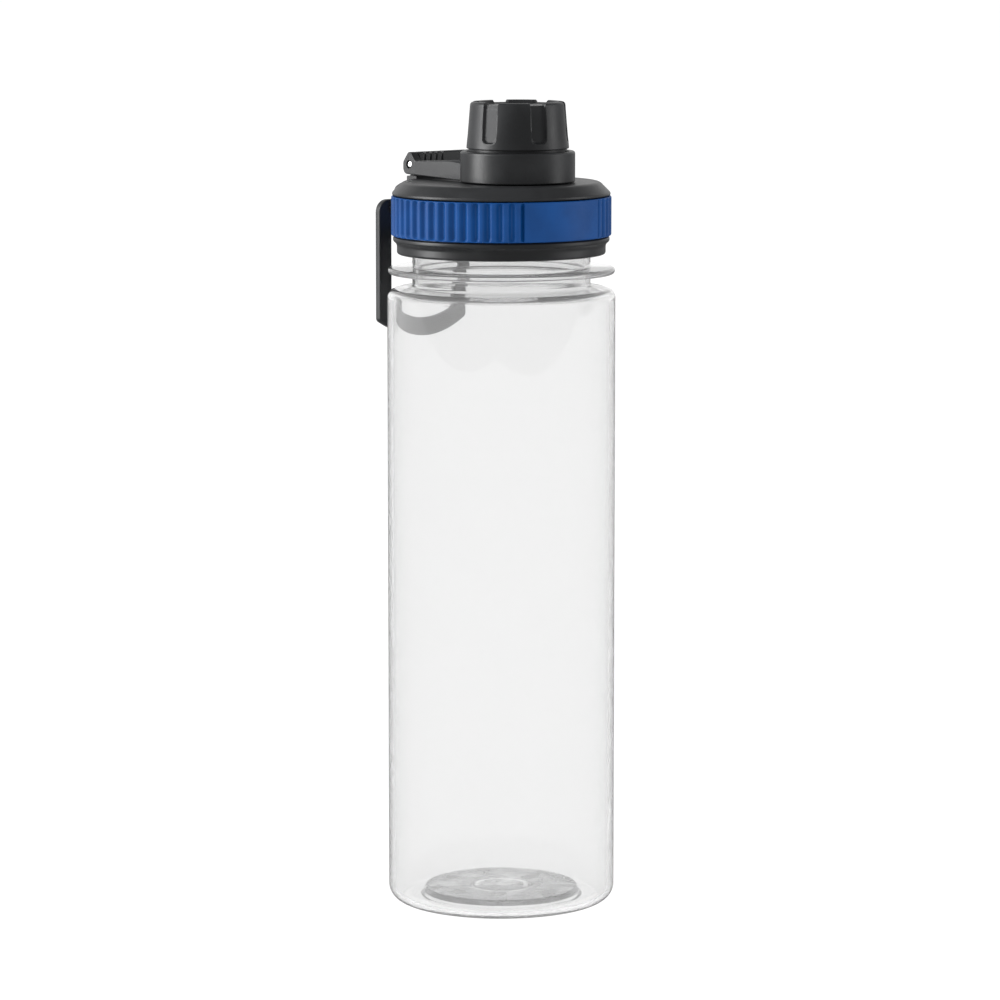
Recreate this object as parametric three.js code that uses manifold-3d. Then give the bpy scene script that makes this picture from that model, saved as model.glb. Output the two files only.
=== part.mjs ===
// A clear screw-top drinking bottle with a hinged spout cap and a carry loop.
// Millimetres, +Z up. The origin is the centre of the foot; the hinge and the loop are towards +Y.
import * as THREE from 'three';
import { mergeVertices } from 'three/addons/utils/BufferGeometryUtils.js';
import Module from 'manifold-3d';

const wasm = await Module();
wasm.setup();

// ---- Driving dimensions ----
const gap = 0.3; // between pieces that touch on the real bottle
const running = 0.5; // between pieces that turn or slide past each other
const weld = 0.6; // how deep one shape of a piece is sunk in the next

// Bottle
const bottleRadius = 36;
const bottleWall = 1.8;
const bottleStraightTop = 192.6;
const shoulderRise = 4.5;
const shoulderRound = 3;
const heelRound = 5;
const floorThickness = 1.8;
const footInnerRadius = 25.4;
const footRecess = 2.6;
const footRecessSlope = 1.2;
const gateRingRadius = 8.6;
const gateRadius = 6.2;
const gateStep = 0.5;
const neckRadius = 28.1;
const neckWall = 1.6;
const flangeAboveShoulder = 3.7;
const flangeReach = 7.7;
const flangeThickness = 2;
const neckAboveFlange = 19.8;

// Neck thread, two starts
const neckThreadDepth = 1.8;
const neckThreadRoot = 1.8;
const neckThreadCrest = 1;
const neckThreadLead = 8;
const neckThreadTurns = 0.9;
const neckThreadStarts = 2;
const neckThreadBelowRim = 14.5;

// Lid
const skirtAboveFlange = 4.2;
const skirtWall = 2;
const skirtBandReach = 0.5;
const skirtBandHeight = 3.2;
const skirtCove = 1;
const beadReach = 1.7;
const ringAboveSkirt = 5.9;
const insertPlate = 2.3;
const coverPlate = 2.2;
const deckBevel = 3.4;
const gasketThickness = 1.8;
const gasketOverlap = 0.8;

// Blue grip ring
const ringThickness = 2;
const ridgeDepth = 0.8;
const ridgeZones = 2;
const ridgesPerZone = 21;
const ridgePitch = THREE.MathUtils.degToRad(6.25);
const plainZoneMiddle = THREE.MathUtils.degToRad(-94);

// Spout
const spoutOffset = 8;
const spoutRadius = 12.6;
const spoutWall = 1.8;
const spoutHeight = 20.9;
const spoutStraight = 11;
const spoutTaper = 2;
const spoutThreadDepth = 0.7;
const spoutThreadRoot = 1.6;
const spoutThreadCrest = 0.8;
const capThreadLead = 4;
const capThreadTurns = 1.4;
const spoutThreadAboveDeck = 3.4;

// Spout cap
const capHeight = 25.3;
const capSkirtReach = 0.7;
const capTaper = 1.2;
const capCrownRound = 2.4;
const capRimWidth = 3.2;
const capDish = 1.2;
const capCeiling = 1.3;
const capSleeveWall = 1.2;
const capThreadDepth = 0.4;
const capBeadReach = 1;
const capBeadHeight = 1.2;
const capSkirtAboveCollar = 0.8;
const capLift = 6;
const capSealThickness = 1.2;
const gripNotches = 6;
const notchWidth = 5;
const notchRound = 1.6;
const notchDepth = 1;
const notchAboveSkirt = 2.2;
const firstNotch = THREE.MathUtils.degToRad(-165);

// Tether: the collar round the spout cap, and its fork
const collarHeight = 9.6;
const collarWall = 1.1;
const collarLip = 1.2;
const armInner = 10.4;
const armThickness = 2.6;
const armEyeRadius = 3.1;
const armEyePeak = 3.9;
const armTopAtCollar = 2.5;
const hingeAboveDeck = 4.4;
const hingeToSpout = 38.2;
const hingePadHeight = 0.75;
const pinRadius = 1.05;

// Carry loop
const loopStandOff = 4.7;
const loopHalfWidth = 17.5;
const loopLegWidth = 5;
const loopThickness = 2.3;
const loopDrop = 41.9;
const loopBarHeight = 5.8;
const loopTopRound = 6.3;
const loopBottomRound = 6.3;
const loopWindowRound = 2;
const loopBowRadius = 28;
const loopEyeRadius = 2.4;
const loopEyeReach = 4;
const loopAxisBelowDeck = 9.6;
const knuckleHalfWidth = 9;
const knuckleRise = 0.5;
const knuckleRoot = 1.6;

const turnSegments = 40; // facets round the bottle and the lid
const spoutSegments = 32; // facets round the spout and its cap
const threadSegments = 24; // facets in one turn of a thread
const pinSegments = 16;
const smallRound = 1; // a corner rounder than this takes more than a chamfer

// ---- Sizes that follow ----
const neckBase = bottleStraightTop + shoulderRise;
const flangeBottom = neckBase + flangeAboveShoulder;
const flangeTop = flangeBottom + flangeThickness;
const flangeRadius = neckRadius + flangeReach;
const rimZ = flangeTop + neckAboveFlange;
const neckBore = neckRadius - neckWall;

const skirtBottom = flangeTop + skirtAboveFlange;
const skirtBore = neckRadius + neckThreadDepth + running;
const skirtRadius = skirtBore + skirtWall;
const gasketBottom = rimZ + gap;
const plateBottom = gasketBottom + gasketThickness + gap;
const plateTop = plateBottom + insertPlate;
const coverBottom = plateTop + gap;
const deckZ = coverBottom + coverPlate;
const ringBottom = skirtBottom + ringAboveSkirt;
const ringTop = plateBottom + gap;
const ringBore = skirtRadius + gap;
const ringRadius = ringBore + ringThickness;
const coverRadius = ringRadius - gap;
const deckRadius = coverRadius - deckBevel;

const spoutY = -spoutOffset;
const spoutTop = deckZ + spoutHeight;
const spoutTipRadius = spoutRadius - spoutTaper;
const spoutThreadRadius = spoutRadius + spoutThreadDepth;
const capThreadCrestRadius = spoutThreadRadius + running;
const sleeveBore = capThreadCrestRadius + capThreadDepth;
const sleeveRadius = sleeveBore + capSleeveWall;
const capBeadRadius = sleeveRadius + capBeadReach;
const capSkirtRadius = sleeveRadius + capSkirtReach;
const capCrownRadius = capSkirtRadius - capTaper;
const capDishRadius = capCrownRadius - capRimWidth;
const collarBore = capBeadRadius + running;
const collarRadius = collarBore + collarWall;
const collarBottom = deckZ + gap;
const collarTop = collarBottom + collarHeight;
const capSkirtBottom = collarTop + capSkirtAboveCollar;
const capTop = deckZ + capHeight;
const capCeilingZ = capTop - capDish - capCeiling;
const capTipBore = spoutTipRadius + 3 * running;
const capBeadTop = collarTop - collarLip - capLift - gap;

const hingeY = spoutY + hingeToSpout;
const hingeZ = deckZ + hingeAboveDeck;
const armOuter = armInner + armThickness;
const pinHole = pinRadius + gap;
const blockHalfWidth = armInner - gap;

const loopY = Math.max(bottleRadius, ringRadius) + loopStandOff;
const loopZ = deckZ - loopAxisBelowDeck;
const loopBottom = loopZ - loopDrop;
const loopEyeOuter = knuckleHalfWidth + gap + loopEyeReach;

// ---- Materials ----
const finish = (name, color, roughness, metalness = 0, opacity = 1) =>
  new THREE.MeshStandardMaterial({ name, color, roughness, metalness, opacity, transparent: opacity < 1 });
const clearPlastic = () => finish('clear_copolyester', 0xe9edec, 0.08, 0, 0.35);
const blackPlastic = () => finish('black_polypropylene', 0x1c1d1f, 0.5);
const blueRubber = () => finish('blue_soft_touch', 0x1f6fb4, 0.6);
const silicone = () => finish('clear_silicone', 0xd9d9d4, 0.45);
const steel = () => finish('stainless_steel', 0xc9cbcd, 0.25, 1);

// ---- Outlines ----
// An outline through corners [across, up, round], where round is the radius of that corner.
function outline(corners, closed = true) {
  const points = [];
  const count = corners.length;
  corners.forEach(([x, y, round = 0], i) => {
    const corner = new THREE.Vector2(x, y);
    const open = !closed && (i === 0 || i === count - 1);
    if (!round || open) {
      points.push(corner);
      return;
    }
    const before = new THREE.Vector2(...corners[(i + count - 1) % count]).sub(corner);
    const after = new THREE.Vector2(...corners[(i + 1) % count]).sub(corner);
    const half = Math.acos(before.dot(after) / (before.length() * after.length())) / 2;
    const reach = Math.min(round / Math.tan(half), 0.49 * before.length(), 0.49 * after.length());
    const radius = reach * Math.tan(half);
    const start = corner.clone().add(before.setLength(reach));
    const end = corner.clone().add(after.setLength(reach));
    const middle = before.clone().add(after).setLength(radius / Math.sin(half)).add(corner);
    const from = start.clone().sub(middle).angle();
    const to = end.clone().sub(middle).angle();
    const turn = THREE.MathUtils.euclideanModulo(to - from + Math.PI, 2 * Math.PI) - Math.PI;
    const steps = Math.ceil(Math.abs(turn) / (round < smallRound ? Math.PI / 2 : Math.PI / 6));
    for (let k = 0; k <= steps; k += 1) {
      const angle = from + (turn * k) / steps;
      points.push(new THREE.Vector2(Math.cos(angle), Math.sin(angle)).multiplyScalar(radius).add(middle));
    }
  });
  return points;
}

// ---- Solids ----
// A closed manifold solid from any closed three.js geometry.
function solid(geometry) {
  const bare = geometry.clone();
  bare.deleteAttribute('normal');
  bare.deleteAttribute('uv');
  const merged = mergeVertices(bare, 1e-4);
  const at = merged.attributes.position;
  const triangles = [];
  for (let i = 0; i < merged.index.count; i += 3) {
    const [a, b, c] = [0, 1, 2].map((k) => merged.index.getX(i + k));
    if (a !== b && b !== c && c !== a) {
      triangles.push(a, b, c);
    }
  }
  const corner = (k) => new THREE.Vector3().fromBufferAttribute(at, triangles[k]);
  let volume = 0;
  for (let i = 0; i < triangles.length; i += 3) {
    volume += corner(i).dot(corner(i + 1).cross(corner(i + 2)));
  }
  const triVerts = new Uint32Array(volume < 0 ? triangles.reverse() : triangles);
  const vertProperties = new Float32Array(at.array);
  return new wasm.Manifold(new wasm.Mesh({ numProp: 3, vertProperties, triVerts }));
}

// A profile [radius, height, round] turned about a vertical axis at x = 0, y = axisY.
function turned(corners, { segments = turnSegments, axisY = 0, closed = true } = {}) {
  const profile = outline(corners, closed);
  if (closed) {
    profile.push(profile[0].clone());
  }
  const geometry = new THREE.LatheGeometry(profile, segments);
  geometry.rotateX(Math.PI / 2);
  geometry.translate(0, axisY, 0);
  return solid(geometry);
}

// A flat outline given some thickness along +Z, with holes.
function plate(corners, thickness, holes = []) {
  const shape = new THREE.Shape(outline(corners));
  holes.forEach((hole) => shape.holes.push(new THREE.Path(hole)));
  return new THREE.ExtrudeGeometry(shape, { depth: thickness, bevelEnabled: false, curveSegments: 8 });
}

// The same, with the outline lying in the Y-Z plane and its thickness from x = low to x = high.
function sidePlate(corners, low, high) {
  const geometry = plate(corners, high - low);
  geometry.rotateY(Math.PI / 2);
  geometry.rotateX(Math.PI / 2);
  geometry.translate(low, 0, 0);
  return solid(geometry);
}

function rod(radius, low, high, y, z) {
  const geometry = new THREE.CylinderGeometry(radius, radius, high - low, pinSegments);
  geometry.rotateZ(Math.PI / 2);
  geometry.translate((low + high) / 2, y, z);
  return solid(geometry);
}

// One helical ridge from the wall radius to the crest radius, fading out at both ends.
function thread({ wall, crest, root, land, lead, turns, start, base, axisY = 0 }) {
  const buried = wall + weld * Math.sign(wall - crest) / 2;
  const steps = Math.round(turns * threadSegments);
  const fade = threadSegments / 8;
  const positions = [];
  const index = [];
  for (let i = 0; i <= steps; i += 1) {
    const angle = start + (turns * 2 * Math.PI * i) / steps;
    const rise = base + (lead * turns * i) / steps;
    const grown = Math.min(1, (i + 0.5) / fade, (steps - i + 0.5) / fade);
    const tip = THREE.MathUtils.lerp(wall, crest, grown);
    const section = [[buried, -root / 2], [tip, -land / 2], [tip, land / 2], [buried, root / 2]];
    section.forEach(([radius, up]) => {
      positions.push(radius * Math.cos(angle), axisY + radius * Math.sin(angle), rise + up);
    });
  }
  for (let i = 0; i < steps; i += 1) {
    for (let k = 0; k < 4; k += 1) {
      const [a, b] = [4 * i + k, 4 * i + ((k + 1) % 4)];
      index.push(a, b, b + 4, a, b + 4, a + 4);
    }
  }
  const last = 4 * steps;
  index.push(0, 2, 1, 0, 3, 2, last, last + 1, last + 2, last, last + 2, last + 3);
  const geometry = new THREE.BufferGeometry();
  geometry.setAttribute('position', new THREE.Float32BufferAttribute(positions, 3));
  geometry.setIndex(index);
  return solid(geometry);
}

function piece(name, shape, material) {
  const { vertProperties, triVerts } = shape.getMesh();
  const geometry = new THREE.BufferGeometry();
  geometry.setAttribute('position', new THREE.BufferAttribute(new Float32Array(vertProperties), 3));
  geometry.setIndex(new THREE.BufferAttribute(new Uint32Array(triVerts), 1));
  geometry.computeVertexNormals();
  const mesh = new THREE.Mesh(geometry, material);
  mesh.name = name;
  return mesh;
}

const sum = (solids) => solids.reduce((whole, part) => whole.add(part));

// ---- Bottle ----
const neckThreadBase = rimZ - neckThreadBelowRim;

function bottleThread(wall, crest) {
  const starts = Array.from({ length: neckThreadStarts }, (_, i) => (2 * Math.PI * i) / neckThreadStarts);
  const form = { root: neckThreadRoot, land: neckThreadCrest, lead: neckThreadLead, turns: neckThreadTurns };
  return starts.map((start) => thread({
    ...form, wall, crest, start, base: neckThreadBase,
  }));
}

function bottleBody() {
  const inner = bottleRadius - bottleWall;
  const slope = (shoulderRise - shoulderRound) / (bottleRadius - neckRadius);
  const underShoulder = (radius) => bottleStraightTop + shoulderRound
    + slope * (bottleRadius - radius) - bottleWall * Math.hypot(1, slope);
  const shell = turned([
    [0, footRecess - gateStep],
    [gateRadius, footRecess - gateStep],
    [gateRadius, footRecess],
    [gateRingRadius, footRecess],
    [gateRingRadius + gateStep, footRecess + gateStep],
    [footInnerRadius - footRecessSlope, footRecess],
    [footInnerRadius, 0],
    [bottleRadius, 0, heelRound],
    [bottleRadius, bottleStraightTop + shoulderRound, shoulderRound],
    [neckRadius, neckBase, 0.8],
    [neckRadius, flangeBottom],
    [flangeRadius, flangeBottom, 0.8],
    [flangeRadius, flangeTop, 0.8],
    [neckRadius, flangeTop],
    [neckRadius, rimZ, 0.7],
    [neckBore, rimZ, 0.7],
    [neckBore, underShoulder(neckBore), shoulderRound],
    [inner, underShoulder(inner), shoulderRound - bottleWall],
    [inner, floorThickness, heelRound - bottleWall],
    [footInnerRadius, floorThickness],
    [footInnerRadius - footRecessSlope, footRecess + floorThickness],
    [0, footRecess + floorThickness],
  ], { closed: false });
  const ridges = bottleThread(neckRadius, neckRadius + neckThreadDepth);
  return piece('bottle_body', sum([shell, ...ridges]), clearPlastic());
}

// ---- Lid ----
function lidInsert() {
  const shell = turned([
    [skirtBore, skirtBottom],
    [skirtRadius + skirtBandReach, skirtBottom, 0.6],
    [skirtRadius + skirtBandReach, skirtBottom + skirtBandHeight],
    [skirtRadius + beadReach, skirtBottom + skirtBandHeight + skirtCove, 0.5],
    [skirtRadius + beadReach, ringBottom - gap, 0.5],
    [skirtRadius, ringBottom - gap],
    [skirtRadius, plateBottom + gap / 2],
    [skirtRadius - insertPlate, plateTop],
    [0, plateTop],
    [0, plateBottom],
    [skirtBore, plateBottom],
  ], { closed: true });
  const spout = turned([
    [0, plateTop - weld],
    [spoutRadius, plateTop - weld],
    [spoutRadius, deckZ + spoutStraight, 6],
    [spoutTipRadius, spoutTop, 0.8],
    [0, spoutTop],
  ], { segments: spoutSegments, axisY: spoutY, closed: false });
  const bore = turned([
    [0, plateBottom - 1],
    [spoutRadius - spoutWall, plateBottom - 1],
    [spoutRadius - spoutWall, deckZ + spoutStraight, 6],
    [spoutTipRadius - spoutWall, spoutTop + 1],
    [0, spoutTop + 1],
  ], { segments: spoutSegments, axisY: spoutY, closed: false });
  const spoutThread = thread({
    wall: spoutRadius,
    crest: spoutThreadRadius,
    root: spoutThreadRoot,
    land: spoutThreadCrest,
    lead: capThreadLead,
    turns: capThreadTurns,
    start: 0,
    base: deckZ + spoutThreadAboveDeck,
    axisY: spoutY,
  });
  const skirtThread = bottleThread(skirtBore, neckRadius + running)
    .map((ridge) => ridge.rotate([0, 0, 180 / neckThreadStarts]));
  return piece('lid_insert', sum([shell, ...skirtThread, spout, spoutThread]).subtract(bore), blackPlastic());
}

function lidCover() {
  const bevelInner = coverRadius - coverPlate * Math.tan(Math.PI / 8) - (coverPlate - gap);
  const shell = turned([
    [spoutRadius + running, coverBottom],
    [bevelInner - gap, coverBottom],
    [ringBore, ringTop + gap],
    [coverRadius, ringTop + gap],
    [coverRadius, deckZ - deckBevel, 1],
    [deckRadius, deckZ, 2],
    [0, deckZ],
    [0, coverBottom],
  ], { closed: true });
  const hole = turned([
    [0, coverBottom - 1],
    [spoutThreadRadius + gap, coverBottom - 1],
    [spoutThreadRadius + gap, deckZ + 1],
    [0, deckZ + 1],
  ], { segments: spoutSegments, axisY: spoutY, closed: false });
  const coverAt = (y) => deckZ - Math.max(0, y - deckRadius);
  const [blockFront, blockBack] = [hingeY - armEyeRadius, hingeY + armEyeRadius];
  const block = sidePlate([
    [blockFront, coverAt(blockFront) - weld],
    [blockFront, hingeZ - 0.6],
    [hingeY - 1.2, hingeZ + armEyePeak, 0.8],
    [hingeY + 1, hingeZ + armEyePeak, 1.4],
    [blockBack, hingeZ + 1, 1.6],
    [blockBack, coverAt(blockBack) - weld],
  ], -blockHalfWidth, blockHalfWidth);
  const padFront = hingeY - armEyeRadius - gap;
  const padEdge = coverRadius - gap;
  const padDisc = turned([
    [0, deckZ - weld],
    [deckRadius, deckZ - weld],
    [padEdge, coverAt(padEdge) - weld],
    [padEdge, deckZ + hingePadHeight],
    [0, deckZ + hingePadHeight],
  ], { closed: false });
  const pad = padDisc.intersect(sidePlate([
    [padFront, ringTop],
    [padFront, hingeZ],
    [coverRadius, hingeZ],
    [coverRadius, ringTop],
  ], gap - armOuter, armOuter - gap));
  const rootLow = ringTop + gap + knuckleRise;
  const rootHigh = rootLow + knuckleRoot;
  const knuckle = sidePlate([
    [coverRadius - knuckleRoot, rootLow],
    [coverRadius - knuckleRoot, rootHigh],
    [loopY - 1, rootHigh, 1],
    [loopY + loopEyeRadius, rootHigh - knuckleRoot, 3],
    [loopY + loopEyeRadius, loopZ - loopEyeRadius, loopEyeRadius],
    [loopY - loopEyeRadius, loopZ - loopEyeRadius, loopEyeRadius],
    [loopY - loopEyeRadius, rootLow],
  ], -knuckleHalfWidth, knuckleHalfWidth);
  const bores = [[hingeY, hingeZ], [loopY, loopZ]]
    .map(([y, z]) => rod(pinHole, -loopHalfWidth, loopHalfWidth, y, z));
  const cover = sum([shell.subtract(hole), pad, block, knuckle]).subtract(sum(bores));
  return piece('lid_cover', cover, blackPlastic());
}

// The ring's outline: three plain stretches, with rounded ridges between them.
function gripRing() {
  const zone = (2 * Math.PI) / ridgeZones;
  const plain = zone - (ridgesPerZone + 0.1) * ridgePitch;
  const plainSteps = 6;
  const outer = [];
  const at = (angle, radius) => new THREE.Vector2(radius * Math.cos(angle), radius * Math.sin(angle));
  for (let z = 0; z < ridgeZones; z += 1) {
    const middle = plainZoneMiddle + z * zone;
    for (let k = 0; k <= plainSteps; k += 1) {
      outer.push(at(middle + plain * (k / plainSteps - 0.5), ringRadius));
    }
    for (let k = 0; k < ridgesPerZone; k += 1) {
      const valley = middle + plain / 2 + (k + 0.1) * ridgePitch;
      outer.push(at(valley, ringRadius - ridgeDepth));
      outer.push(at(valley + 0.35 * ridgePitch, ringRadius));
      outer.push(at(valley + 0.7 * ridgePitch, ringRadius));
    }
  }
  const shape = new THREE.Shape(outer);
  shape.holes.push(new THREE.Path().absarc(0, 0, ringBore, 0, 2 * Math.PI, true));
  const geometry = new THREE.ExtrudeGeometry(shape, {
    depth: ringTop - ringBottom,
    bevelEnabled: false,
    curveSegments: turnSegments / 2,
  });
  geometry.translate(0, 0, ringBottom);
  return piece('grip_ring', solid(geometry), blueRubber());
}

function lidGasket() {
  const ring = turned([
    [neckBore - gasketOverlap, gasketBottom],
    [neckRadius + gasketOverlap, gasketBottom],
    [neckRadius + gasketOverlap, gasketBottom + gasketThickness],
    [neckBore - gasketOverlap, gasketBottom + gasketThickness],
  ]);
  return piece('lid_gasket', ring, silicone());
}

// ---- Spout cap, its seal and its tether ----
function spoutCap() {
  const crown = turned([
    [0, capCeilingZ],
    [capTipBore, capCeilingZ],
    [capTipBore, spoutTop - 1, 4],
    [sleeveBore, capSkirtBottom + 1, 4],
    [sleeveBore, capBeadTop - capBeadHeight],
    [capBeadRadius, capBeadTop - capBeadHeight, 0.4],
    [capBeadRadius, capBeadTop, 0.4],
    [sleeveRadius, capBeadTop],
    [sleeveRadius, capSkirtBottom],
    [capSkirtRadius, capSkirtBottom, 0.5],
    [capCrownRadius, capTop, capCrownRound],
    [capDishRadius + capDish, capTop, 0.8],
    [capDishRadius, capTop - capDish],
    [0, capTop - capDish],
  ], { segments: spoutSegments, axisY: spoutY, closed: false });
  const ridge = thread({
    wall: sleeveBore,
    crest: capThreadCrestRadius,
    root: spoutThreadRoot,
    land: spoutThreadCrest,
    lead: capThreadLead,
    turns: capThreadTurns,
    start: Math.PI,
    base: deckZ + spoutThreadAboveDeck,
    axisY: spoutY,
  });
  const height = capTop - capSkirtBottom;
  const taper = Math.atan(capTaper / height);
  const notches = Array.from({ length: gripNotches }, (_, k) => {
    const cutter = plate([
      [-notchWidth / 2, notchAboveSkirt, notchRound],
      [notchWidth / 2, notchAboveSkirt, notchRound],
      [notchWidth / 2, height + 2],
      [-notchWidth / 2, height + 2],
    ], 4);
    cutter.rotateX(Math.PI / 2);
    cutter.rotateZ(Math.PI);
    cutter.rotateX(taper);
    cutter.translate(0, capSkirtRadius - notchDepth, 0);
    cutter.rotateZ(firstNotch - Math.PI / 2 + (2 * Math.PI * k) / gripNotches);
    cutter.translate(0, spoutY, capSkirtBottom);
    return solid(cutter);
  });
  return piece('spout_cap', crown.add(ridge).subtract(sum(notches)), blackPlastic());
}

function capSeal() {
  const disc = turned([
    [0, capCeilingZ - gap - capSealThickness],
    [capTipBore - gap, capCeilingZ - gap - capSealThickness],
    [capTipBore - gap, capCeilingZ - gap],
    [0, capCeilingZ - gap],
  ], { segments: spoutSegments, axisY: spoutY, closed: false });
  return piece('cap_seal', disc, silicone());
}

function tetherCollar() {
  const ring = turned([
    [0, collarBottom],
    [collarRadius, collarBottom],
    [collarRadius, collarTop, 0.6],
    [0, collarTop],
  ], { segments: spoutSegments, axisY: spoutY, closed: false });
  const armFoot = hingeZ - armEyeRadius;
  const armStart = spoutY + Math.sqrt(collarRadius ** 2 - armOuter ** 2) - 2;
  const arms = [-armOuter, armInner].map((low) => sidePlate([
    [armStart, collarBottom],
    [hingeY + armEyeRadius, armFoot, 2.6],
    [hingeY + armEyeRadius, hingeZ + 0.8, 2],
    [hingeY + 0.6, hingeZ + armEyePeak, 1],
    [hingeY - 1, hingeZ + armEyePeak, 0.5],
    [hingeY - armEyeRadius, hingeZ + 1.3, 1],
    [armStart, hingeZ + armTopAtCollar],
  ], low, low + armThickness));
  const bore = turned([
    [0, collarBottom - 1],
    [collarBore, collarBottom - 1],
    [collarBore, collarTop - collarLip],
    [sleeveRadius + gap, collarTop - collarLip],
    [sleeveRadius + gap, collarTop + 1],
    [0, collarTop + 1],
  ], { segments: spoutSegments, axisY: spoutY, closed: false });
  const eyes = rod(pinHole, -armOuter - 1, armOuter + 1, hingeY, hingeZ);
  return piece('tether_collar', sum([ring, ...arms]).subtract(bore).subtract(eyes), blackPlastic());
}

function hingePin() {
  return piece('hinge_pin', rod(pinRadius, gap - armOuter, armOuter - gap, hingeY, hingeZ), steel());
}

// ---- Carry loop ----
function carryLoop() {
  const top = loopZ + loopEyeRadius;
  const window = loopHalfWidth - loopLegWidth;
  const eyeInner = knuckleHalfWidth + gap;
  const tabLow = loopZ - loopEyeRadius - 1;
  const bow = (x) => x ** 2 / (2 * loopBowRadius);
  const outer = [1, 0.66, 0.33, 0, -0.33, -0.66, -1].map((share) => {
    const x = share * loopHalfWidth;
    return [x, loopBottom + bow(x), Math.abs(share) === 1 ? loopBottomRound : 0];
  });
  const inner = [-1, -0.5, 0, 0.5, 1].map((share) => {
    const x = share * window;
    return [x, loopBottom + loopBarHeight + bow(x), Math.abs(share) === 1 ? loopWindowRound : 0];
  });
  const frame = plate([
    ...outer,
    [-loopHalfWidth, top, loopTopRound],
    [-eyeInner, top],
    [-eyeInner, tabLow],
    [-window, tabLow, loopWindowRound],
    ...inner,
    [window, tabLow, loopWindowRound],
    [eyeInner, tabLow],
    [eyeInner, top],
    [loopHalfWidth, top, loopTopRound],
  ], loopThickness);
  frame.rotateX(Math.PI / 2);
  frame.translate(0, loopY + loopThickness / 2, 0);
  const eyes = [-loopEyeOuter, eyeInner]
    .map((low) => rod(loopEyeRadius, low, low + loopEyeReach, loopY, loopZ));
  const bore = rod(pinHole, -loopEyeOuter, loopEyeOuter, loopY, loopZ);
  return piece('carry_loop', sum([solid(frame), ...eyes]).subtract(bore), blackPlastic());
}

function loopPin() {
  return piece('loop_pin', rod(pinRadius, gap - loopEyeOuter, loopEyeOuter - gap, loopY, loopZ), steel());
}

const bottle = new THREE.Group();
bottle.add(
  bottleBody(),
  lidInsert(),
  lidCover(),
  gripRing(),
  lidGasket(),
  spoutCap(),
  capSeal(),
  tetherCollar(),
  hingePin(),
  carryLoop(),
  loopPin(),
);

export default bottle;
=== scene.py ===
# A clear screw-top drinking bottle with a hinged spout cap, a blue grip ring and a carry loop.
import math

import bmesh
import bpy
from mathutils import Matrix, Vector


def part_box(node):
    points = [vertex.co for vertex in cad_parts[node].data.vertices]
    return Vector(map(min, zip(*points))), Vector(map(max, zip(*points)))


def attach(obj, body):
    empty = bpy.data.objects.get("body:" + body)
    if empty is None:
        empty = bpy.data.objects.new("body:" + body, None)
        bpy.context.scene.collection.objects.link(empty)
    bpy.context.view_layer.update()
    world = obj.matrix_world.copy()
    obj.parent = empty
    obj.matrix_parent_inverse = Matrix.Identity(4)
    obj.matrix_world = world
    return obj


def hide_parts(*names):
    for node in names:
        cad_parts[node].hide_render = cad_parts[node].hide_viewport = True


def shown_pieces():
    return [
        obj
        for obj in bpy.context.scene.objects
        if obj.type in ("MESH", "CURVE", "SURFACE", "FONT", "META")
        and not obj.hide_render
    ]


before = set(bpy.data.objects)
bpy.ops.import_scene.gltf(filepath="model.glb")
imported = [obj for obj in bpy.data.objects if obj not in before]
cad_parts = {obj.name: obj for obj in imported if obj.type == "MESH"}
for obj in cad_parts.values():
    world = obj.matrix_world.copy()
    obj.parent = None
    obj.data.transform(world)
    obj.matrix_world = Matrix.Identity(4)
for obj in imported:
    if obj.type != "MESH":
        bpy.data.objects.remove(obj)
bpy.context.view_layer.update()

scene = bpy.context.scene
mm = 0.001  # shapes are worked out in millimetres and made in metres
print("frame loaded:", len(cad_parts), "nodes")


# places that the frame gives, in millimetres
def boxOf(node):
    low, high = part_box(node)
    return low / mm, high / mm


def middleOf(node):
    low, high = boxOf(node)
    return (low + high) / 2


gap = 0.3  # between pieces that touch
running = 0.5  # between pieces that slide past each other
sunk = 0.6  # how deep one shape is sunk in the next

_, bodyHigh = boxOf("bottle_body")
insertLow, insertHigh = boxOf("lid_insert")
ringLow, ringHigh = boxOf("grip_ring")
gasketLow, gasketHigh = boxOf("lid_gasket")
capLow, capHigh = boxOf("spout_cap")
sealLow, sealHigh = boxOf("cap_seal")
collarLow, collarHigh = boxOf("tether_collar")
hingePinLow, hingePinHigh = boxOf("hinge_pin")
loopPinLow, loopPinHigh = boxOf("loop_pin")
loopLow, loopHigh = boxOf("carry_loop")

hinge = middleOf("hinge_pin")
loopAxis = middleOf("loop_pin")
spoutY = middleOf("cap_seal").y
rimZ = bodyHigh.z
deckZ = collarLow.z - gap
pinRadius = (hingePinHigh.z - hingePinLow.z) / 2
pinHole = pinRadius + gap


# Corners are (across, up) or (across, up, radius of the round corner).
def roundOff(corners, closed=False, arcStep=math.radians(10)):
    points = []
    for i, corner in enumerate(corners):
        here = Vector(corner[:2])
        radius = corner[2] if len(corner) > 2 else 0
        atEnd = not closed and i in (0, len(corners) - 1)
        if not radius or atEnd:
            points.append(here)
            continue
        before = Vector(corners[i - 1][:2]) - here
        after = Vector(corners[(i + 1) % len(corners)][:2]) - here
        half = before.angle(after) / 2
        reach = min(radius / math.tan(half), 0.49 * before.length, 0.49 * after.length)
        radius = reach * math.tan(half)
        towards = (before.normalized() + after.normalized()).normalized()
        middle = here + towards * radius / math.sin(half)
        first = here + before.normalized() * reach - middle
        last = here + after.normalized() * reach - middle
        turn = math.atan2(first.x * last.y - first.y * last.x, first.dot(last))
        steps = max(2, math.ceil(abs(turn) / arcStep))
        angle = math.atan2(first.y, first.x)
        for k in range(steps + 1):
            a = angle + turn * k / steps
            points.append(middle + Vector((math.cos(a), math.sin(a))) * radius)
    return points


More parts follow.
